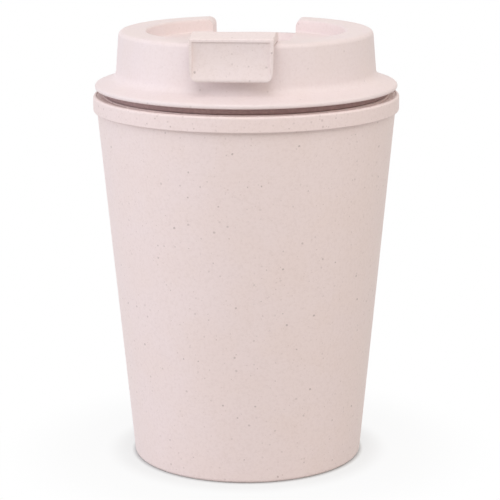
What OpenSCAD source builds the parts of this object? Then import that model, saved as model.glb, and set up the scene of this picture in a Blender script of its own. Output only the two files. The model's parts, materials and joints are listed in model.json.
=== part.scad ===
// Double-walled plastic coffee cup with a screw lid and a flip-over drinking flap.
// The cup stands on z = 0 with its axis on Z. The drinking side faces -Y.

/* [Cup] */
// Height from the table to the top of the rim
cup_h = 111.4; // [80:0.1:160]
// Outside diameter at the foot
base_d = 69.6; // [58:0.1:84]
// Inside diameter of the mouth that takes the lid's skirt
mouth_d = 80; // [72:0.1:100]
// Depth of the straight part of the mouth
mouth_depth = 12; // [11:0.1:20]
// Wall thickness of the outer shell
shell_wall = 2; // [1.4:0.1:3]
// Wall thickness of the inner liner
liner_wall = 1.6; // [1:0.1:2.4]
// Air space between liner and shell at the foot of the straight mouth
mouth_gap = 0.43; // [0.3:0.01:1.5]
// Air space between liner and shell at the floor
floor_gap = 2.7; // [1:0.1:6]
// Height of the liner's rim band
band_h = 4.6; // [3:0.05:9]
// How far the rim band stands out from the wall below it
band_step = 1.1; // [0.5:0.1:2.5]
// Thickness of the rim's top over the shell's edge
rim_t = 1.4; // [1:0.1:2.4]
// Ledge on the shell that the rim band rests on
ledge_w = 0.9; // [0.5:0.1:1.4]
// Thickness of the shell's floor
base_t = 2.4; // [1.5:0.1:4]
// Height of the hollow under the base
foot_lift = 1.5; // [0.8:0.1:3]
// Width of the ring that the cup stands on
foot_w = 4.8; // [3:0.1:8]
// Rounding of the foot's outer edge
foot_round = 1.1; // [0.5:0.1:3]
// Rounding between the liner's floor and its wall
floor_round = 5; // [2:0.1:10]
// Rounding inside the shell between its floor and its wall
shell_round = 2.5; // [1:0.1:4]
// Rounding of the hollow's corner under the base
hollow_round = 1; // [0.5:0.1:1.4]
// How far the liner's wall steps in below the mouth
shoulder_w = 1.7; // [1:0.1:2.5]
// Height of that step
shoulder_h = 2.4; // [1.5:0.1:4]
// Rounding of the step's outside
shoulder_round = 1; // [0.5:0.1:1.2]
// Rounding of the rim's upper outer edge
rim_round = 0.7; // [0.3:0.1:0.7]
// Rounding of the rim band's lower edge
band_round = 0.3; // [0.2:0.05:0.6]
// Width of the lip round the rim's outer edge
rim_lip_w = 1; // [1:0.05:1.6]
// Width of the shallow gutter inside the lip
gutter_w = 2.1; // [1.4:0.1:2.3]
// Depth of the gutter
gutter_depth = 0.2; // [0.1:0.05:0.7]
// Rounding of the gutter's edges
gutter_round = 0.1; // [0.05:0.05:0.3]
// Number of pips along the gutter
pip_n = 26; // [12:1:40]
// Diameter of a pip
pip_d = 1.2; // [0.6:0.1:2]
// Height of a pip
pip_h = 0.25; // [0.15:0.05:0.4]
// Turn of the row of pips from the front, in degrees
pip_turn = -3.6; // [-15:0.1:15]

/* [Lid] */
// Room between the lid's skirt and the mouth, for the thread
thread_room = 1.2; // [0.8:0.1:2]
// Height of the gap between the cup's rim and the lid's flange
lid_gap = 2; // [0.8:0.1:3]
// Height of the lid above its flange's lower face
lid_rise = 17.2; // [14:0.1:26]
// Wall thickness of the lid
lid_wall = 2; // [1.4:0.1:2.6]
// Wall thickness of the lid's skirt
skirt_wall = 1.7; // [1.2:0.1:2.4]
// How far the lid's wall stands outside the skirt
lid_step = 0.25; // [0.1:0.05:1]
// Depth of the skirt below the flange's lower face
skirt_depth = 11.2; // [8:0.1:11.6]
// Lean of the lid's wall, in degrees
lid_draft = 4.6; // [1:0.1:8]
// How far the flange's edge stays inside the rim band
flange_inset = 0.6; // [0.3:0.1:2]
// Thickness of the flange at its edge
flange_t = 1.2; // [1.1:0.1:3]
// Rise of the flange from its edge to the lid's wall
flange_slope = 2.2; // [1:0.1:3]
// Rounding where the flange turns up into the wall
flange_round = 3; // [1:0.1:4]
// Rounding of the flange's upper edge
flange_edge_round = 0.8; // [0.3:0.1:0.8]
// Rounding of the raised rim's outer edge
crown_round = 1.5; // [0.5:0.1:2]
// Width of the raised rim round the lid's top
rim_w = 8.2; // [7.8:0.1:12]
// Depth of the round recess inside the raised rim
recess_depth = 4; // [2.5:0.1:5]
// How far the recess's wall leans in
recess_lean = 0.5; // [0.1:0.05:0.6]
// Rounding of the edges of the recess and the channel
recess_round = 0.8; // [0.4:0.1:1.2]
// Depth of the channel that takes the opened flap
channel_depth = 7.35; // [6.6:0.05:9]
// Depth of the gap in the back of the raised rim
gap_depth = 5.4; // [4.6:0.1:6.4]
// Room between the opened flap's front edge and the sill under that gap
sill_room = 0.6; // [0.4:0.1:1.5]
// Rounding of the rim's ends beside the channel
notch_round = 2.4; // [0.5:0.1:3]
// Length of the drinking hole
sip_l = 14; // [10:0.5:18]
// Width of the drinking hole
sip_w = 4; // [3.4:0.1:4.6]
// Diameter of the air vent in the recess
vent_d = 2; // [1:0.1:3]

/* [Gasket] */
// Depth of the gasket's groove in the flange
groove_depth = 0.8; // [0.4:0.1:1]
// Width of the gasket's ring
gasket_w = 3.3; // [2:0.1:4]
// Rounding of the gasket's edges
gasket_round = 0.4; // [0.1:0.05:0.5]

/* [Flap] */
// Width of the flap
flap_w = 23.8; // [20:0.1:30]
// Thickness of the flap at its front edge
flap_t = 1.9; // [1.4:0.1:2.6]
// How far the flap's crest lies behind its front edge
crest_l = 8.8; // [6:0.1:12]
// Rise of the flap's top from its front edge to its crest
crest_rise = 0.95; // [0.4:0.05:1.2]
// Rounding of the crest
crest_round = 6; // [2:0.1:10]
// Rounding of the flap's upper edges at its sides
roof_round = 0.6; // [0.3:0.1:0.8]
// Gap between the closed flap and the raised rim
flap_gap = 0.3; // [0.2:0.05:1]
// Room on each side of the flap in the channel
notch_room = 1; // [0.5:0.1:3]
// How far the thumb tab stands out in front of the raised rim
tab_reach = 4.3; // [3.6:0.1:8]
// Height of the thumb tab from its lip to its lower edge
tab_h = 12.25; // [8:0.05:13]
// How much further out the tab's lower edge lies
tab_flare = 0.4; // [0:0.1:2]
// Thickness of the tab at its lower edge
tab_t = 1.5; // [1.2:0.1:2.5]
// Rounding of the tab's lower corners
tab_round = 2.6; // [0.5:0.1:4]
// How much narrower the tab is at its lower edge, on each side
tab_draft = 0.3; // [0:0.1:1]
// How far the tab's inner face leans
tab_lean = 0.2; // [0:0.05:0.5]
// Rounding of the tab's upright edges
tab_edge_round = 0.5; // [0.4:0.1:0.9]
// Rounding inside the tab, where it meets the flap
tab_root_round = 1; // [0.5:0.1:1.5]
// Depth of the scoop in the tab's face
scoop_depth = 0.5; // [0.3:0.1:1.6]
// Distance from the lip's top to the deepest part of the scoop
scoop_level = 4.5; // [2:0.1:6]
// Height of the plain edge below the scoop
scoop_edge = 0.8; // [0.4:0.1:2]
// Thickness of the lip over the scoop
lip_t = 0.9; // [0.6:0.1:1.2]
// Width of the cheek on each side of the scoop
cheek_w = 0.8; // [0.5:0.1:3]
// How far each side of the scoop slopes in
scoop_side = 0.2; // [0.1:0.1:2]
// Rounding at the foot of the scoop's sides
scoop_round = 0.4; // [0.2:0.1:1]
// Length of the flap's full width behind its front edge
level_l = 16.5; // [14:0.5:20]
// Rounding of the full width's back corners
level_round = 3; // [1:0.1:4]
// Width of the flap's arm at the hinge
arm_w = 12.4; // [8:0.1:14]
// Room between the ears' feet and the wide part of the flap
arm_room = 3.2; // [2:0.1:5]
// Rounding where the flap narrows to its arm
arm_round = 2; // [1:0.1:3]
// Rounding of the flap's lower side where the arm bends down
bend_in = 4; // [2:0.1:6]

/* [Hinge] */
// How far the hinge lies in front of the cup's axis
hinge_ahead = 5; // [0:0.5:7]
// Diameter of the hinge pin
pin_d = 1.4; // [1:0.1:1.6]
// Diameter of the flap's barrel and the ears round the pin
barrel_d = 3; // [2.6:0.1:3.4]
// Thickness of each hinge ear
ear_t = 2.5; // [1.5:0.1:3]
// Width of each ear at its foot
ear_foot = 5.4; // [4:0.1:8]
// Length of the channel in front of the ears
channel_lead = 0.8; // [0.5:0.1:3]

/* [Stopper] */
// Length of the boss that carries the stopper
boss_l = 9.2; // [6:0.1:10]
// Width of the boss that carries the stopper
boss_w = 1.6; // [1:0.1:2]
// How far the stopper reaches below the raised rim
stopper_drop = 2.7; // [2:0.1:4]
// Thickness of the stopper under its boss
stopper_floor = 0.8; // [0.5:0.1:1.2]

/* [Fits] */
// Gap between faces that seat on each other
seat_gap = 0.05; // [0.02:0.01:0.2]
// Gap round a piece that is pushed into place
push_gap = 0.08; // [0.02:0.01:0.2]
// Gap round the hinge pin in the flap's barrel
pin_gap = 0.05; // [0.02:0.01:0.1]
// Gap round the hinge pin in the ears
ear_gap = 0.02; // [0.01:0.01:0.05]
// Gap beside the flap's barrel
side_gap = 0.12; // [0.05:0.01:0.4]
// Gap round the stopper in the drinking hole, and inside the gasket
soft_gap = 0.3; // [0.2:0.05:0.6]
// Gap under the flap when it lies open in the channel
open_gap = 0.2; // [0.1:0.05:1]

/* [Hidden] */
$fn = 128;
corner_steps = 6;
beyond = 20;
over = 1;
edge_round = 0.5;
inside_barrel = 0.9;
apart = 0.05;
plastic = [0.9, 0.82, 0.8];
plastic_lid = [0.92, 0.85, 0.83];
silicone = [0.72, 0.6, 0.56];
steel = [0.75, 0.75, 0.76];

// Cup heights
band_z = cup_h - band_h;
mouth_z = cup_h - mouth_depth;
mouth_foot_z = mouth_z - liner_wall / 2;
shell_floor_z = foot_lift + base_t;
liner_base_z = shell_floor_z + floor_gap;
liner_floor_z = liner_base_z + liner_wall;

// Cup radii, from the mouth outwards
mouth_r = mouth_d / 2;
liner_r = mouth_r + liner_wall;
base_r = base_d / 2;
// The shell's wall is straight, and nearest to the liner at the foot of the mouth
wall_r = base_r + (liner_r + mouth_gap + shell_wall - base_r) * band_z / mouth_foot_z;
shell_in_r = wall_r - shell_wall;
rim_r = wall_r + band_step;
spigot_r = wall_r - ledge_w;
lip_in_r = rim_r - rim_lip_w;
gutter_in_r = lip_in_r - gutter_w;
gutter_z = cup_h - gutter_depth;

// Outside radius of the shell at height z
function shell_r(z) = base_r + (wall_r - base_r) * z / band_z;

// Lid radii and heights
flange_z = cup_h + lid_gap;
top_z = flange_z + lid_rise;
edge_z = flange_z + flange_t;
foot_z = edge_z + flange_slope;
skirt_z = flange_z - skirt_depth;
skirt_r = mouth_r - thread_room;
skirt_in_r = skirt_r - skirt_wall;
lid_foot_r = skirt_r + lid_step;
lid_top_r = lid_foot_r - (top_z - foot_z) * tan(lid_draft);
flange_r = rim_r - flange_inset;
recess_r = lid_top_r - rim_w;
recess_z = top_z - recess_depth;
channel_z = top_z - channel_depth;
sill_z = top_z - gap_depth;
groove_z = flange_z + groove_depth;
gasket_in_r = skirt_r + soft_gap;
gasket_r = gasket_in_r + gasket_w;
groove_r = gasket_r + soft_gap;

// Flap places: the opened flap lies in the channel, half a turn round the hinge
flap_low_z = top_z + flap_gap;
front_y = -(lid_top_r + tab_reach);
front_z = flap_low_z + flap_t;
tab_front_y = front_y - tab_flare;
crest_y = front_y + crest_l;
crest_z = front_z + crest_rise;
hinge_y = -hinge_ahead;
hinge_z = (crest_z + channel_z + open_gap) / 2;
sill_y = 2 * hinge_y - tab_front_y + sill_room;
notch_w = flap_w + 2 * notch_room;
ear_x = arm_w / 2 + side_gap;
sip_y = -(lid_top_r + recess_r) / 2;
channel_front_y = hinge_y - ear_foot / 2 - channel_lead;
barrel_r = barrel_d / 2;
level_y = front_y + level_l;
tab_low_z = front_z - tab_h;

// One corner of an outline, replaced by an arc where the corner has a radius
function unit(v) = v / norm(v);
function flat(p) = [p[0], p[1]];
function turn(a) = a > 180 ? a - 360 : a < -180 ? a + 360 : a;
function arc(c, r, a0, sweep) =
    [for (k = [0 : corner_steps])
        let (a = a0 + sweep * k / corner_steps)
        c + r * [cos(a), sin(a)]];
function corner_arc(p, u, v, r) =
    let (half = acos(u * v) / 2)
    let (c = p + unit(u + v) * r / sin(half))
    let (from = p + u * r / tan(half) - c)
    let (to = p + v * r / tan(half) - c)
    let (a0 = atan2(from[1], from[0]))
    arc(c, r, a0, turn(atan2(to[1], to[0]) - a0));

// Outline points from corners written as [x, y] or [x, y, radius]
function rounded(corners) =
    let (n = len(corners))
    [for (i = [0 : n - 1])
        let (p = corners[i], before = corners[(i + n - 1) % n], after = corners[(i + 1) % n])
        each len(p) == 2 ? [p] :
            corner_arc(flat(p), unit(flat(before) - flat(p)), unit(flat(after) - flat(p)), p[2])];

module turned(corners) {
    rotate_extrude() polygon(rounded(corners));
}

// A prism along X from an outline in Y and Z
module along_x(corners, width) {
    rotate([90, 0, 90]) linear_extrude(width, center = true) polygon(rounded(corners));
}

// A prism along Y, from y0 to y1, from an outline in X and Z
module along_y(corners, y0, y1) {
    translate([0, y1, 0]) rotate([90, 0, 0]) linear_extrude(y1 - y0) polygon(rounded(corners));
}

module stadium(length, width) {
    square([length - width, width], center = true);
    for (side = [-1, 1]) translate([side * (length - width) / 2, 0]) circle(d = width);
}

// Outer shell: tapered wall and base in one moulding, with a spigot for the liner's rim
module outer_shell() {
    floor_r = shell_r(shell_floor_z) - shell_wall;
    spigot_z = cup_h - rim_t - 2 * push_gap;
    color(plastic) turned([
        [0, foot_lift],
        [base_r - foot_w - foot_lift, foot_lift, hollow_round],
        [base_r - foot_w, 0, edge_round],
        [base_r, 0, foot_round],
        [wall_r, band_z],
        [spigot_r, band_z],
        [spigot_r, spigot_z],
        [shell_in_r, spigot_z],
        [shell_in_r, band_z],
        [floor_r, shell_floor_z, shell_round],
        [0, shell_floor_z]]);
}

// Low round pips along the gutter's floor
module rim_pips() {
    radius = (pip_d * pip_d / 4 + pip_h * pip_h) / (2 * pip_h);
    intersection() {
        for (i = [0 : pip_n - 1]) rotate(i * 360 / pip_n + pip_turn - 90)
            translate([(lip_in_r + gutter_in_r) / 2, 0, gutter_z + pip_h - radius]) sphere(radius);
        translate([0, 0, gutter_z - pip_h]) cylinder(r = rim_r, h = 3 * pip_h);
    }
}

// Inner liner: the drinking cup, with a guttered rim band that closes over the shell's edge
module inner_liner() {
    floor_out_r = shell_r(liner_base_z) - shell_wall - floor_gap;
    floor_in_r = shell_r(liner_floor_z) - shell_wall - floor_gap - liner_wall;
    throat_z = mouth_z - shoulder_h;
    groove_roof_z = cup_h - rim_t;
    color(plastic) {
        turned([
            [0, liner_base_z],
            [floor_out_r, liner_base_z, floor_round + liner_wall],
            [liner_r - shoulder_w, throat_z - liner_wall / 2, shoulder_round],
            [liner_r, mouth_foot_z, shoulder_round],
            [liner_r, groove_roof_z],
            [spigot_r + push_gap, groove_roof_z],
            [spigot_r + push_gap, band_z],
            [rim_r, band_z, band_round],
            [rim_r, cup_h, rim_round],
            [lip_in_r, cup_h, gutter_round],
            [lip_in_r, gutter_z],
            [gutter_in_r, gutter_z],
            [gutter_in_r, cup_h, gutter_round],
            [mouth_r, cup_h, edge_round],
            [mouth_r, mouth_z, edge_round],
            [mouth_r - shoulder_w, throat_z, edge_round],
            [floor_in_r, liner_floor_z, floor_round],
            [0, liner_floor_z]]);
        rim_pips();
    }
}

// The lid's outside, from the skirt's edge up over the rim to the middle of the recess
lid_outside = [
    [skirt_r, skirt_z, edge_round],
    [skirt_r, groove_z],
    [groove_r, groove_z],
    [groove_r, flange_z],
    [flange_r, flange_z, edge_round],
    [flange_r, edge_z, flange_edge_round],
    [lid_foot_r, foot_z, flange_round],
    [lid_top_r, top_z, crown_round],
    [recess_r, top_z, recess_round],
    [recess_r - recess_lean, recess_z, edge_round],
    [0, recess_z]];

// The lid's inside, back from under the recess to the skirt's edge
lid_inside = [
    [0, recess_z - lid_wall],
    [recess_r + lid_wall - recess_lean, recess_z - lid_wall, edge_round],
    [recess_r + lid_wall, top_z - lid_wall, edge_round],
    [lid_top_r - lid_wall, top_z - lid_wall, recess_round],
    [lid_foot_r - lid_wall, foot_z],
    [skirt_in_r, skirt_z, edge_round]];

// Channel across the recess and out through the back of the raised rim
module channel() {
    half = notch_w / 2;
    along_y([
        [-half, channel_z, recess_round],
        [half, channel_z, recess_round],
        [half, top_z, notch_round],
        [half + beyond, top_z],
        [half + beyond, top_z + beyond],
        [-half - beyond, top_z + beyond],
        [-half - beyond, top_z],
        [-half, top_z, notch_round]], channel_front_y, lid_foot_r + beyond);
}

// Trough that the channel is cut into, inside the lid's outside
module trough() {
    width = notch_w + 2 * lid_wall;
    intersection() {
        turned(concat(lid_outside, [[0, skirt_z]]));
        translate([-width / 2, channel_front_y - lid_wall, channel_z - lid_wall])
            cube([width, lid_foot_r + beyond, channel_depth + lid_wall]);
    }
}

// Sill across the channel's back end, under the gap in the raised rim
module sill() {
    low_z = channel_z - lid_wall / 2;
    intersection() {
        turned(concat(lid_outside, [[0, skirt_z]]));
        along_x([
            [sill_y, low_z],
            [lid_foot_r + over, low_z],
            [lid_foot_r + over, sill_z],
            [sill_y + sill_z - channel_z, sill_z, edge_round],
            [sill_y, channel_z]], notch_w + lid_wall);
    }
}

module hinge_ears() {
    top = hinge_z + barrel_r;
    ear_round = inside_barrel * barrel_r;
    for (side = [-1, 1]) translate([side * (ear_x + ear_t / 2), 0, 0]) along_x([
        [hinge_y - ear_foot / 2, channel_z - lid_wall / 2],
        [hinge_y + ear_foot / 2, channel_z - lid_wall / 2],
        [hinge_y + ear_foot / 2, channel_z],
        [hinge_y + barrel_r, top, ear_round],
        [hinge_y - barrel_r, top, ear_round],
        [hinge_y - ear_foot / 2, channel_z]], ear_t);
}

module pin_hole(d) {
    translate([0, hinge_y, hinge_z]) rotate([0, 90, 0]) cylinder(d = d, h = notch_w, center = true);
}

// Lid: one thin moulding with a hollow raised rim, flange, skirt, channel and hinge ears
module lid_shell() {
    color(plastic_lid) difference() {
        union() {
            difference() {
                union() {
                    turned(concat(lid_outside, lid_inside));
                    trough();
                }
                channel();
            }
            sill();
            hinge_ears();
        }
        pin_hole(pin_d + 2 * ear_gap);
        translate([0, sip_y, top_z - 2 * lid_wall]) linear_extrude(3 * lid_wall) stadium(sip_l, sip_w);
        translate([0, -(recess_r + hinge_ahead) / 2, recess_z - 2 * lid_wall])
            cylinder(d = vent_d, h = 3 * lid_wall);
    }
}

// Gasket: a soft ring round the skirt, between the cup's rim and the lid's flange
module lid_gasket() {
    color(silicone) turned([
        [gasket_in_r, cup_h + seat_gap, gasket_round],
        [gasket_r, cup_h + seat_gap, gasket_round],
        [gasket_r, groove_z - seat_gap, gasket_round],
        [gasket_in_r, groove_z - seat_gap, gasket_round]]);
}

// The flap seen from the side: a low crest over the raised rim, then an arm down to the hinge
module flap_side() {
    arm_half = inside_barrel * barrel_r;
    along_x([
        [tab_front_y, tab_low_z, edge_round],
        [front_y, front_z, edge_round],
        [crest_y, crest_z, crest_round],
        [hinge_y, hinge_z + arm_half],
        [hinge_y, hinge_z - arm_half],
        [level_y + flap_t, flap_low_z, bend_in],
        [front_y + scoop_depth + tab_t - tab_lean, flap_low_z, tab_root_round],
        [tab_front_y + tab_t, tab_low_z, edge_round]], flap_w);
}

// The flap seen from above: full width over the rim, drawn in to the arm at the hinge
module flap_plan() {
    half = flap_w / 2;
    arm = arm_w / 2;
    arm_y = hinge_y - ear_foot / 2 - arm_room;
    translate([0, 0, tab_low_z - over]) linear_extrude(crest_z - tab_low_z + 2 * over) polygon(rounded([
        [-half, tab_front_y, tab_edge_round],
        [half, tab_front_y, tab_edge_round],
        [half, level_y, level_round],
        [arm, arm_y, arm_round],
        [arm, hinge_y],
        [-arm, hinge_y],
        [-arm, arm_y, arm_round],
        [-half, level_y, level_round]]));
}

// The flap seen from the front: round lower corners on the tab
module flap_front() {
    half = flap_w / 2;
    low_half = half - tab_draft;
    along_y([
        [-low_half, tab_low_z, tab_round],
        [low_half, tab_low_z, tab_round],
        [half, flap_low_z - tab_round],
        [half, crest_z + over],
        [-half, crest_z + over],
        [-half, flap_low_z - tab_round]], front_y - beyond, hinge_y + beyond);
}

// The flap's rising top, with rounded edges along both sides
module flap_roof() {
    half = flap_w / 2 + apart;
    translate([0, front_y, front_z + apart]) rotate([atan2(crest_rise, crest_l), 0, 0]) along_y([
        [-half, -beyond],
        [half, -beyond],
        [half, 0, roof_round],
        [-half, 0, roof_round]], -beyond, hinge_y - front_y + beyond);
}

// Thumb scoop: a wide cylinder across the tab's face, with steep sides and a step under the lip
module thumb_scoop() {
    deep_z = front_z - scoop_level;
    reach = deep_z - tab_low_z - scoop_edge;
    depth = scoop_depth + tab_flare;
    radius = (reach * reach + depth * depth) / (2 * depth);
    slope = scoop_side / depth;
    wide = flap_w / 2 - cheek_w + slope * over;
    narrow = flap_w / 2 - cheek_w - scoop_side - slope * apart;
    intersection() {
        translate([0, front_y + scoop_depth - radius, deep_z])
            rotate([0, 90, 0]) cylinder(r = radius, h = flap_w, center = true);
        translate([0, 0, tab_low_z - over]) linear_extrude(tab_h + over - lip_t) polygon(rounded([
            [-wide, tab_front_y - over],
            [wide, tab_front_y - over],
            [narrow, front_y + scoop_depth + apart, scoop_round],
            [-narrow, front_y + scoop_depth + apart, scoop_round]]));
    }
}

// Flip flap: cover plate, thumb tab, hinge barrel and the boss for its stopper
module flip_flap() {
    boss_low_z = top_z - stopper_drop + stopper_floor;
    color(plastic_lid) difference() {
        union() {
            difference() {
                intersection() {
                    flap_side();
                    flap_plan();
                    flap_front();
                    flap_roof();
                }
                thumb_scoop();
            }
            translate([0, hinge_y, hinge_z]) rotate([0, 90, 0])
                cylinder(d = barrel_d, h = arm_w, center = true);
            translate([0, sip_y, boss_low_z])
                linear_extrude(flap_low_z + flap_t / 2 - boss_low_z) stadium(boss_l, boss_w);
        }
        pin_hole(pin_d + 2 * pin_gap);
    }
}

// Stopper: a soft cap on the flap's boss that fills the drinking hole
module flap_stopper() {
    low_z = top_z - stopper_drop;
    color(silicone) translate([0, sip_y, 0]) difference() {
        translate([0, 0, low_z]) linear_extrude(flap_low_z - seat_gap - low_z)
            stadium(sip_l - 2 * soft_gap, sip_w - 2 * soft_gap);
        translate([0, 0, low_z + stopper_floor - seat_gap]) linear_extrude(beyond)
            stadium(boss_l + 2 * push_gap, boss_w + 2 * push_gap);
    }
}

// Hinge pin: pushed through both ears and the flap's barrel
module hinge_pin() {
    color(steel) translate([0, hinge_y, hinge_z]) rotate([0, 90, 0])
        cylinder(d = pin_d, h = 2 * (ear_x + ear_t), center = true);
}

outer_shell();
inner_liner();
lid_shell();
lid_gasket();
flip_flap();
flap_stopper();
hinge_pin();
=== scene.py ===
"""Looks of a double-walled fibre-plastic coffee cup with a screw lid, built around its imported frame."""
import json
import math

import bmesh
import bpy
from mathutils import Matrix, Vector


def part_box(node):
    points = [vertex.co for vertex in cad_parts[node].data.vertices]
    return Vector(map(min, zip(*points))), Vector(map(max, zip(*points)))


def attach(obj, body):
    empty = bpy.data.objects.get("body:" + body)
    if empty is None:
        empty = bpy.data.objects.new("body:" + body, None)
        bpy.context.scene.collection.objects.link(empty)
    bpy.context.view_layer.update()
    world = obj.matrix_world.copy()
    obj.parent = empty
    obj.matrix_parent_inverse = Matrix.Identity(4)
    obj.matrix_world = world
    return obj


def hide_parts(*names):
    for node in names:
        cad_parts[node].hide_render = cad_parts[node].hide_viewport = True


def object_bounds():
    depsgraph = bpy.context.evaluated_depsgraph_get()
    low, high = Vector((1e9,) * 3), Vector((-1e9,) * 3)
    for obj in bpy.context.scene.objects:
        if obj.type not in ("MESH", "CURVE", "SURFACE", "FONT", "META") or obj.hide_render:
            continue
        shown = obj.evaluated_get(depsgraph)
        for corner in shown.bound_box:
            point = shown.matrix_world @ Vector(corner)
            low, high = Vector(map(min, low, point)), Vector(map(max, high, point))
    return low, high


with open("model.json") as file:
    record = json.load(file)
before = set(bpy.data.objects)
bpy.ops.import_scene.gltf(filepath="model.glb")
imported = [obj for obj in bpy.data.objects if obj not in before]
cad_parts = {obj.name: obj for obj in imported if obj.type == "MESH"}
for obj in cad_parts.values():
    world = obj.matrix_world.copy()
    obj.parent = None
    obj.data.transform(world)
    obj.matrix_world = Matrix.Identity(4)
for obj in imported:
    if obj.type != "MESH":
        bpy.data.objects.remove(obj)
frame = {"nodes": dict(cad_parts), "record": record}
cad_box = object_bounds()
nodes = frame["nodes"]
behaviour = frame["record"]["behaviour"]
MM = 0.001
FULL_TURN = 2 * math.pi

# Camera, from the outlines in the photograph
PHOTO_SIDE = 500
SENSOR = 36.0
FOCAL_PIXELS = 2052.85
CAMERA_REACH = 611.85 * MM
CAMERA_HEIGHT = 203.02 * MM
CAMERA_AZIMUTH = 5.7
CAMERA_PITCH = 12.894
CAMERA_YAW = -0.092
CAMERA_ROLL = -0.205

# Light
AMBIENT = (0.535, 0.52, 0.49)
WHITE = (1.0, 1.0, 1.0, 1.0)
LAMP_DISTANCE = 1.3
LAMP_SIDE = 0.9

# Floor: the camera sees more of its white with each step away from the cup's foot
FLOOR_HALF = 4.0
FLOOR_GREY = (0.6, 0.6, 0.6, 1.0)
FOOT_EDGE = 34.5 * MM
CONTACT_EDGE = 36.2 * MM
SHADOW_EDGE = 45 * MM
WHITE_EDGE = 80 * MM
WHITE_AT_FOOT = 0.1
WHITE_PAST_CONTACT = 0.7
WHITE_IN_SHADOW = 0.22
WHITE_BEYOND = 0.08

# Fibre plastic
CLOUD_SIZE = 14 * MM
GRIT_SIZE = 0.9 * MM
GRAIN_SIZE = 0.35 * MM
WOBBLE_SIZE = 0.5 * MM
WOBBLE_REACH = 0.35 * MM
COARSE_SPACING = 1.9 * MM
COARSE_RADIUS = 0.34 * MM
COARSE_DEPTH = 0.46
FINE_SPACING = 1.1 * MM
FINE_RADIUS = 0.2 * MM
FINE_DEPTH = 0.36
BUMP_DISTANCE = 0.02 * MM

# Lid and mouth
SKIRT_RADIUS = 38.8 * MM
MOUTH_RADIUS = 40.0 * MM
THREAD_STARTS = 2
THREAD_WIDTH = 1.7 * MM
THREAD_HEIGHT = 0.8 * MM
THREAD_MARGIN = 1.6 * MM
THREAD_SUNK = 0.12 * MM
THREAD_STEP = math.radians(3)
THREAD_FADE = math.radians(24)
THREAD_LEAD = behaviour["couplings"][0]["ratio"] * FULL_TURN
GASKET_BORE = 39.1 * MM
GASKET_STEPS = 160
BASE_HOLLOW = 1.5 * MM
GATE_STEPS = 48

# Shading of the carried-over nodes
WELD_DISTANCE = 0.001 * MM
CREASE_ANGLE = math.radians(32)


def linear(red, green, blue):
    """Linear colour with alpha from 8-bit sRGB values."""
    def channel(value):
        share = value / 255
        return share / 12.92 if share <= 0.04045 else ((share + 0.055) / 1.055) ** 2.4
    return (channel(red), channel(green), channel(blue), 1.0)


# Shader node helpers

def put(tree, socket, value):
    """Links value to socket if it is a socket, or else sets it there."""
    if isinstance(value, bpy.types.NodeSocket):
        tree.links.new(value, socket)
    else:
        socket.default_value = value


def add(tree, kind, inputs=(), **settings):
    """A new node with its settings, and its inputs by name or number."""
    made = tree.nodes.new(kind)
    for name, value in settings.items():
        setattr(made, name, value)
    for key, value in dict(inputs).items():
        put(tree, made.inputs[key], value)
    return made


def arithmetic(tree, operation, a, b):
    """One operation on two numbers."""
    return add(tree, "ShaderNodeMath", {0: a, 1: b}, operation=operation).outputs[0]


def spread(tree, value, low, high, to_low=0.0, to_high=1.0):
    """Value carried smoothly from low..high to to_low..to_high."""
    made = add(tree, "ShaderNodeMapRange", {0: value, 1: low, 2: high, 3: to_low, 4: to_high},
               interpolation_type="SMOOTHSTEP")
    return made.outputs[0]


def tint(tree, share, a, b):
    """Colour a with a share of colour b."""
    return add(tree, "ShaderNodeMix", {0: share, 6: a, 7: b}, data_type="RGBA").outputs[2]


def noise(tree, place, size, detail=2.0, roughness=0.5):
    """Noise whose features are about size metres across."""
    return add(tree, "ShaderNodeTexNoise", {"Vector": place, "Scale": 1 / size, "Detail": detail,
                                            "Roughness": roughness})


def object_place(tree):
    """The shaded point in the object's own coordinates."""
    return add(tree, "ShaderNodeTexCoord").outputs["Object"]


def wobbled(tree, place):
    """Place shifted a little by noise, so that flecks aren't round."""
    wobble = noise(tree, place, WOBBLE_SIZE, detail=1.0).outputs["Color"]
    shift = add(tree, "ShaderNodeVectorMath", {0: wobble, 1: (0.5, 0.5, 0.5)},
                operation="SUBTRACT").outputs[0]
    return add(tree, "ShaderNodeVectorMath", {0: shift, 1: (WOBBLE_REACH,) * 3, 2: place},
               operation="MULTIPLY_ADD").outputs[0]


def flecks(tree, place, spacing, radius, share):
    """Mask of scattered flecks: a share of the cells holds one, their sizes differ and few are dark."""
    cells = add(tree, "ShaderNodeTexVoronoi", {"Vector": place, "Scale": 1 / spacing})
    draw = add(tree, "ShaderNodeSeparateColor", {0: cells.outputs["Color"]})
    chosen = arithmetic(tree, "LESS_THAN", draw.outputs[0], share)
    smallest = 0.5 * radius / spacing
    largest = 1.2 * radius / spacing
    size = spread(tree, draw.outputs[1], 0.0, 1.0, smallest, largest)
    inside = arithmetic(tree, "DIVIDE", cells.outputs["Distance"], size)
    solid = spread(tree, inside, 0.6, 1.1, 1.0, 0.0)
    uneven = arithmetic(tree, "POWER", draw.outputs[2], 2.5)
    depth = spread(tree, uneven, 0.0, 1.0, 0.3, 1.0)
    return arithmetic(tree, "MULTIPLY", arithmetic(tree, "MULTIPLY", solid, chosen), depth)


def bumped(tree, shader, height, strength, distance):
    """Fine relief on the shader's surface."""
    bump = add(tree, "ShaderNodeBump", {"Height": height, "Strength": strength, "Distance": distance})
    put(tree, shader.inputs["Normal"], bump.outputs[0])


def new_material(name):
    """A material with its node tree and its Principled shader."""
    material = bpy.data.materials.new(name)
    material.use_nodes = True
    tree = material.node_tree
    return material, tree, tree.nodes["Principled BSDF"]


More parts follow.
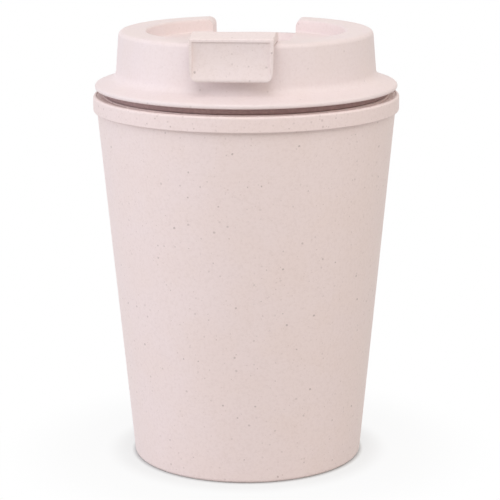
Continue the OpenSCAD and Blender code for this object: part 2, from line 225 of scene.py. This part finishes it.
def fibre_plastic(name, colour, fleck_share, fleck_depth):
    """Matte moulded plastic filled with ground plant fibre: dark flecks, fine grit and faint clouding."""
    material, tree, shader = new_material(name)
    place = object_place(tree)
    bent = wobbled(tree, place)

    cloud = noise(tree, place, CLOUD_SIZE, detail=3.0).outputs["Fac"]
    warm = tuple(c * f for c, f in zip(colour, (0.998, 0.992, 0.982, 1.0)))
    pale = tuple(c * f for c, f in zip(colour, (1.004, 1.006, 1.01, 1.0)))
    body = tint(tree, spread(tree, cloud, 0.35, 0.65), warm, pale)

    grit = noise(tree, place, GRIT_SIZE, detail=3.0, roughness=0.7).outputs["Fac"]
    gritted = spread(tree, grit, 0.4, 0.75, 0.0, 0.06 + 0.06 * fleck_depth)
    gritty = tint(tree, gritted, body, linear(176, 146, 134))

    coarse = flecks(tree, bent, COARSE_SPACING, COARSE_RADIUS, fleck_share)
    fine = flecks(tree, bent, FINE_SPACING, FINE_RADIUS, fleck_share)
    fine_share = arithmetic(tree, "MULTIPLY", fine, FINE_DEPTH * fleck_depth)
    coarse_share = arithmetic(tree, "MULTIPLY", coarse, COARSE_DEPTH * fleck_depth)
    faint = tint(tree, fine_share, gritty, linear(150, 116, 100))
    base = tint(tree, coarse_share, faint, linear(104, 76, 64))
    put(tree, shader.inputs["Base Color"], base)

    put(tree, shader.inputs["Roughness"], spread(tree, cloud, 0.3, 0.7, 0.46, 0.56))
    grain = noise(tree, place, GRAIN_SIZE, detail=2.0).outputs["Fac"]
    relief = arithmetic(tree, "ADD", grain, arithmetic(tree, "MULTIPLY", coarse, 0.6))
    bumped(tree, shader, relief, 0.22, BUMP_DISTANCE)
    shader.inputs["Specular IOR Level"].default_value = 0.35
    return material


def silicone():
    """Soft matte rubber with a dusty surface."""
    material, tree, shader = new_material("silicone_soft")
    dust = noise(tree, object_place(tree), 1.2 * MM, detail=4.0, roughness=0.65).outputs["Fac"]
    colour = tint(tree, spread(tree, dust, 0.35, 0.7), linear(167, 139, 137), linear(181, 154, 152))
    put(tree, shader.inputs["Base Color"], colour)
    put(tree, shader.inputs["Roughness"], spread(tree, dust, 0.3, 0.7, 0.52, 0.7))
    bumped(tree, shader, dust, 0.15, BUMP_DISTANCE)
    shader.inputs["Specular IOR Level"].default_value = 0.3
    return material


def drawn_steel():
    """Drawn wire: fine lines along the pin."""
    material, tree, shader = new_material("pin_drawn_steel")
    stretched = {"Vector": object_place(tree), "Scale": (0.04, 1, 1)}
    along = add(tree, "ShaderNodeMapping", stretched).outputs[0]
    lines = noise(tree, along, 0.12 * MM, detail=3.0).outputs["Fac"]
    colour = tint(tree, spread(tree, lines, 0.3, 0.7), linear(176, 176, 178), linear(214, 214, 216))
    put(tree, shader.inputs["Base Color"], colour)
    put(tree, shader.inputs["Roughness"], spread(tree, lines, 0.3, 0.7, 0.24, 0.42))
    bumped(tree, shader, lines, 0.2, 0.01 * MM)
    shader.inputs["Metallic"].default_value = 1.0
    return material


# Carried-over nodes: shading smoothed over their small rounding facets

def weld_and_smooth():
    """Geometry nodes that join a node's faces along their edges and shade shallow edges smooth."""
    group = bpy.data.node_groups.new("weld_and_smooth", "GeometryNodeTree")
    for way in ("INPUT", "OUTPUT"):
        group.interface.new_socket("Geometry", in_out=way, socket_type="NodeSocketGeometry")
    start = add(group, "NodeGroupInput").outputs[0]
    welded = add(group, "GeometryNodeMergeByDistance", {"Geometry": start,
                                                        "Distance": WELD_DISTANCE}).outputs[0]
    bend = add(group, "GeometryNodeInputMeshEdgeAngle").outputs["Unsigned Angle"]
    sharp = add(group, "FunctionNodeCompare", {0: bend, 1: CREASE_ANGLE},
                operation="GREATER_THAN").outputs[0]
    shaded = add(group, "GeometryNodeSetMeshNormal", {"Mesh": welded, "Remove Custom": True,
                                                      "Edge Sharpness": sharp}).outputs[0]
    add(group, "NodeGroupOutput", {0: shaded})
    return group


def finish_node(name, material, group):
    """Gives a carried-over node its material and smooth rounded edges."""
    node = nodes[name]
    node.data.materials.clear()
    node.data.materials.append(material)
    node.modifiers.new("weld_and_smooth", "NODES").node_group = group
    weighted = node.modifiers.new("weighted_normals", "WEIGHTED_NORMAL")
    weighted.keep_sharp = True


# Pieces made here

def piece(name, mesh_maker, material, body):
    """A smooth-shaded object from mesh_maker(bm) that rides on a body."""
    mesh = bpy.data.meshes.new(name)
    bm = bmesh.new()
    mesh_maker(bm)
    bmesh.ops.recalc_face_normals(bm, faces=bm.faces)
    bm.to_mesh(mesh)
    bm.free()
    mesh.materials.append(material)
    mesh.shade_smooth()
    made = bpy.data.objects.new(name, mesh)
    bpy.context.scene.collection.objects.link(made)
    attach(made, body)
    return made


def loft(bm, rings, closed_profile=False):
    """Quads between rings of points, with flat ends unless the first ring follows the last."""
    loops = [[bm.verts.new(point) for point in ring] for ring in rings]
    followers = loops[1:] + loops[:1] if closed_profile else loops[1:]
    for a, b in zip(loops, followers):
        for i in range(len(a)):
            j = (i + 1) % len(a)
            bm.faces.new((a[i], a[j], b[j], b[i]))
    if not closed_profile:
        bm.faces.new(list(reversed(loops[0])))
        bm.faces.new(loops[-1])


def circle_ring(radius, z, steps):
    """Points round a level circle on the cup's axis."""
    angles = [FULL_TURN * k / steps for k in range(steps)]
    return [(radius * math.cos(angle), radius * math.sin(angle), z) for angle in angles]


def thread_ridges(bm, radius, height, low_z, high_z, first_angle):
    """Helical ridges on a round wall: height is positive outwards and negative inwards."""
    profile = [(0.0, -0.5), (0.55, -0.38), (0.9, -0.25), (1.0, -0.1),
               (1.0, 0.1), (0.9, 0.25), (0.55, 0.38), (0.0, 0.5)]
    sunk = math.copysign(THREAD_SUNK, height)
    sweep = FULL_TURN * (high_z - low_z - THREAD_WIDTH) / THREAD_LEAD
    count = int(sweep / THREAD_STEP)
    for start in range(THREAD_STARTS):
        offset = first_angle + FULL_TURN * start / THREAD_STARTS
        rings = []
        for k in range(count + 1):
            turn = sweep * k / count
            rise = min(1.0, turn / THREAD_FADE, (sweep - turn) / THREAD_FADE)
            full = 0.12 + 0.88 * rise * rise * (3 - 2 * rise)
            angle = offset + turn
            middle = low_z + THREAD_WIDTH / 2 + THREAD_LEAD * turn / FULL_TURN
            width = THREAD_WIDTH * (0.5 + 0.5 * full)
            ridge = [(height * full * out, along) for out, along in profile]
            ring = []
            for out, along in [(-sunk, -0.5), *ridge, (-sunk, 0.5)]:
                r = radius + out
                ring.append((r * math.cos(angle), r * math.sin(angle), middle + along * width))
            rings.append(ring)
        loft(bm, rings)


def lid_thread(material):
    """Two-start thread round the lid's skirt, below the gasket."""
    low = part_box("lid_shell")[0].z + THREAD_MARGIN
    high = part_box("lid_gasket")[0].z - 0.5 * THREAD_MARGIN
    piece("lid_thread", lambda bm: thread_ridges(bm, SKIRT_RADIUS, THREAD_HEIGHT, low, high, 0.0),
          material, "lid")


def mouth_thread(material):
    """The cup's thread, half a pitch away from the lid's."""
    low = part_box("lid_shell")[0].z + 0.5 * THREAD_MARGIN
    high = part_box("lid_gasket")[0].z - 0.5 * THREAD_MARGIN
    lead_in = math.pi / THREAD_STARTS - FULL_TURN * 0.5 * THREAD_MARGIN / THREAD_LEAD
    piece("mouth_thread",
          lambda bm: thread_ridges(bm, MOUTH_RADIUS, -THREAD_HEIGHT, low, high, lead_in),
          material, "cup")


def gasket_ring(material):
    """Silicone ring with two sealing lips underneath, in the groove under the lid's flange."""
    low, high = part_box("lid_gasket")
    width = high.x - GASKET_BORE
    tall = high.z - low.z
    profile = [(0.0, 0.2), (0.02, 0.1), (0.06, 0.03), (0.11, 0.0), (0.16, 0.05), (0.24, 0.22),
               (0.36, 0.27), (0.5, 0.28), (0.64, 0.27),
               (0.76, 0.22), (0.84, 0.05), (0.89, 0.0), (0.94, 0.03), (0.98, 0.1), (1.0, 0.2),
               (1.0, 0.86), (0.97, 0.95), (0.9, 1.0), (0.1, 1.0), (0.03, 0.95), (0.0, 0.86)]
    rings = [circle_ring(GASKET_BORE + width * r, low.z + tall * z, GASKET_STEPS) for r, z in profile]
    made = piece("gasket_ring", lambda bm: loft(bm, rings, closed_profile=True),
                 material, "gasket")
    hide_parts("lid_gasket")


def stadium_ring(centre, half_length, half_width, z, steps=18):
    """A slot outline: two half circles joined by straight sides."""
    straight = half_length - half_width
    points = []
    for side, first in ((1, -90), (-1, 90)):
        for k in range(steps + 1):
            angle = math.radians(first + 180 * k / steps)
            points.append((centre.x + side * straight + half_width * math.cos(angle),
                           centre.y + half_width * math.sin(angle), z))
    return points


def sip_stopper(material):
    """Silicone plug under the flap, with a rounded nose and two sealing ribs."""
    low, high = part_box("flap_stopper")
    centre = (low + high) / 2
    half_length = (high.x - low.x) / 2
    half_width = (high.y - low.y) / 2
    tall = high.z - low.z
    profile = [(0.0, 1.3), (0.01, 0.75), (0.05, 0.4), (0.11, 0.2),
               (0.2, 0.06), (0.28, 0.0), (0.36, 0.06), (0.43, 0.2), (0.5, 0.26), (0.57, 0.2),
               (0.64, 0.06), (0.71, 0.0), (0.78, 0.06), (0.85, 0.2), (0.92, 0.26), (1.0, 0.26)]
    rings = [stadium_ring(centre, half_length - inset * MM, half_width - inset * MM, low.z + tall * share)
             for share, inset in profile]
    made = piece("sip_stopper", lambda bm: loft(bm, rings), material, "flap")
    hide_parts("flap_stopper")


def gate_mark(material):
    """The moulding gate's trimmed mark in the middle of the hollow under the base."""
    profile = [(3.4, -0.05), (3.2, 0.02), (3.0, 0.14), (2.6, 0.14), (2.4, 0.02),
               (1.1, 0.02), (0.9, 0.16), (0.7, 0.2), (0.2, 0.18)]
    rings = [circle_ring(r * MM, BASE_HOLLOW - drop * MM, GATE_STEPS) for r, drop in profile]
    piece("gate_mark", lambda bm: loft(bm, rings), material, "cup")


# Stage

def white_to_camera(tree):
    """1 for rays from the camera, and for rays that mirror or pass what lies behind."""
    path = add(tree, "ShaderNodeLightPath").outputs
    seen = arithmetic(tree, "MAXIMUM", path["Is Camera Ray"], path["Is Glossy Ray"])
    return arithmetic(tree, "MAXIMUM", seen, path["Is Transmission Ray"])


def studio_world():
    """Even ambient light. The camera sees white."""
    world = bpy.data.worlds.new("studio")
    world.use_nodes = True
    tree = world.node_tree
    soft = tree.nodes["Background"]
    soft.inputs["Color"].default_value = (*AMBIENT, 1.0)
    white = add(tree, "ShaderNodeBackground", {"Color": WHITE, "Strength": 1.0})
    mixed = add(tree, "ShaderNodeMixShader", {0: white_to_camera(tree), 1: soft.outputs[0],
                                              2: white.outputs[0]})
    put(tree, tree.nodes["World Output"].inputs["Surface"], mixed.outputs[0])
    bpy.context.scene.world = world


def floor_material():
    """Pale matte floor, nearly white to the camera, with the cup's soft shadow kept round the foot."""
    material, tree, shader = new_material("floor_pale")
    tree.nodes.remove(shader)
    away = add(tree, "ShaderNodeVectorMath", {0: object_place(tree)}, operation="LENGTH").outputs["Value"]
    foot = spread(tree, away, FOOT_EDGE, CONTACT_EDGE, WHITE_AT_FOOT, WHITE_PAST_CONTACT)
    shadow = spread(tree, away, CONTACT_EDGE, SHADOW_EDGE, 0.0, WHITE_IN_SHADOW)
    beyond = spread(tree, away, SHADOW_EDGE, WHITE_EDGE, 0.0, WHITE_BEYOND)
    glow = arithmetic(tree, "ADD", arithmetic(tree, "ADD", foot, shadow), beyond)
    share = arithmetic(tree, "MULTIPLY", glow, white_to_camera(tree))
    matte = add(tree, "ShaderNodeBsdfDiffuse", {"Color": FLOOR_GREY})
    white = add(tree, "ShaderNodeEmission", {"Color": WHITE, "Strength": 1.0})
    mixed = add(tree, "ShaderNodeMixShader", {0: share, 1: matte.outputs[0], 2: white.outputs[0]})
    put(tree, tree.nodes["Material Output"].inputs["Surface"], mixed.outputs[0])
    return material


def pale_floor():
    """A wide level floor at the cup's foot."""
    mesh = bpy.data.meshes.new("floor")
    corners = [(x * FLOOR_HALF, y * FLOOR_HALF, 0) for x, y in ((-1, -1), (1, -1), (1, 1), (-1, 1))]
    mesh.from_pydata(corners, [], [(0, 1, 2, 3)])
    mesh.materials.append(floor_material())
    floor = bpy.data.objects.new("floor", mesh)
    bpy.context.scene.collection.objects.link(floor)


def softbox(name, azimuth, elevation, power, colour):
    """A square area lamp aimed at the middle of the cup. Azimuth 0 is the cup's front."""
    a, e = math.radians(azimuth), math.radians(elevation)
    out = Vector((math.sin(a) * math.cos(e), -math.cos(a) * math.cos(e), math.sin(e)))
    lamp = bpy.data.lights.new(name, "AREA")
    lamp.shape = "SQUARE"
    lamp.size = LAMP_SIDE
    lamp.energy = power
    lamp.color = colour
    box = bpy.data.objects.new(name, lamp)
    aim = (cad_box[0] + cad_box[1]) / 2
    box.location = aim + out * LAMP_DISTANCE
    box.rotation_mode = "QUATERNION"
    box.rotation_quaternion = out.to_track_quat("Z", "Y")
    bpy.context.scene.collection.objects.link(box)


def photo_camera():
    """The camera that took the photograph."""
    lens = bpy.data.cameras.new("camera")
    lens.sensor_width = SENSOR
    lens.lens = FOCAL_PIXELS / PHOTO_SIDE * SENSOR
    lens.clip_start = 0.01
    camera = bpy.data.objects.new("camera", lens)
    around = math.radians(CAMERA_AZIMUTH)
    stand = (CAMERA_REACH * math.sin(around), -CAMERA_REACH * math.cos(around), CAMERA_HEIGHT)
    camera.matrix_world = (
        Matrix.Translation(stand)
        @ Matrix.Rotation(math.radians(CAMERA_AZIMUTH + CAMERA_YAW), 4, "Z")
        @ Matrix.Rotation(math.radians(90 - CAMERA_PITCH), 4, "X")
        @ Matrix.Rotation(math.radians(CAMERA_ROLL), 4, "Z"))
    bpy.context.scene.collection.objects.link(camera)
    bpy.context.scene.camera = camera


# Finishes

shell_plastic = fibre_plastic("cup_fibre_plastic", linear(239, 222, 219), 0.56, 0.85)
band_plastic = fibre_plastic("liner_fibre_plastic", linear(238, 220, 217), 0.95, 0.85)
lid_plastic = fibre_plastic("lid_fibre_plastic", linear(235, 220, 219), 0.35, 0.33)
flap_plastic = fibre_plastic("flap_fibre_plastic", linear(236, 221, 219), 0.75, 0.7)
soft_rubber = silicone()
steel = drawn_steel()

smooth = weld_and_smooth()
finish_node("outer_shell", shell_plastic, smooth)
finish_node("inner_liner", band_plastic, smooth)
finish_node("lid_shell", lid_plastic, smooth)
finish_node("flip_flap", flap_plastic, smooth)
finish_node("hinge_pin", steel, smooth)

lid_thread(lid_plastic)
mouth_thread(band_plastic)
gasket_ring(soft_rubber)
sip_stopper(soft_rubber)
gate_mark(shell_plastic)

# Light and camera

studio_world()
pale_floor()
softbox("lamp_left", -75, 12, 7.6, (0.825, 0.875, 1.0))
softbox("lamp_front", 0, 52, 6.9, (0.96, 0.965, 1.0))
softbox("lamp_right", 70, 35, 3.9, (1.0, 0.94, 0.86))
photo_camera()
bpy.context.scene.view_settings.view_transform = "Standard"
